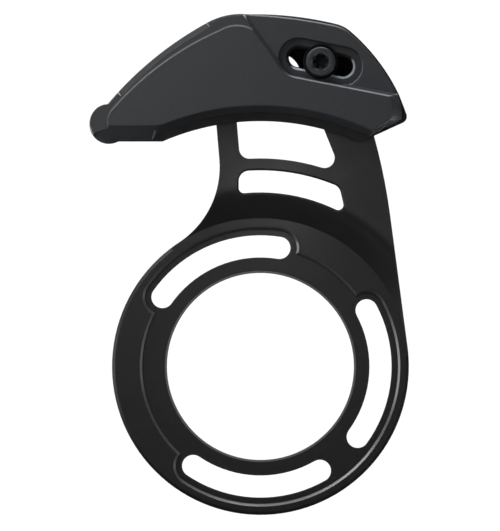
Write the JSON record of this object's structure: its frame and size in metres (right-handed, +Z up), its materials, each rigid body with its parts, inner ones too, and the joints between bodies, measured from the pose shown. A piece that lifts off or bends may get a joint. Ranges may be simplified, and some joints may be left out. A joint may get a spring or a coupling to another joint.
{
  "type": "bicycle chain guide",
  "caption": "Upper chain guide for a motor-driven crank: a slotted ring with a joggled, windowed arm carries a two-half moulded channel that slides along a bolted slot.",
  "frame": {"origin": "on the axis of the ring's bore, in the ring's rear mounting face", "axes": "+Z up the arm towards the guide, +Y out of the rear face towards the motor, the chain side faces -Y"},
  "size_m": [0.0911, 0.027, 0.1428],
  "materials": {
    "plate": "black anodised, satin",
    "outer_moulding": "glass-filled nylon, fine matt texture",
    "inner_moulding": "glass-filled nylon, matt",
    "bolt": "black oxide",
    "washer": "black oxide"
  },
  "bodies": {
    "mount_plate": {"back_plate": "plate", "guide_bolt": "bolt", "bolt_washer": "washer"},
    "guide": {"outer_guide": "outer_moulding", "inner_guide": "inner_moulding"}
  },
  "joints": [
    {"name": "guide_adjust", "type": "slide", "parent": "mount_plate", "child": "guide", "axis": [0.9811, 0, -0.1935], "range_m": [-0.0063, 0.0063]}
  ]
}
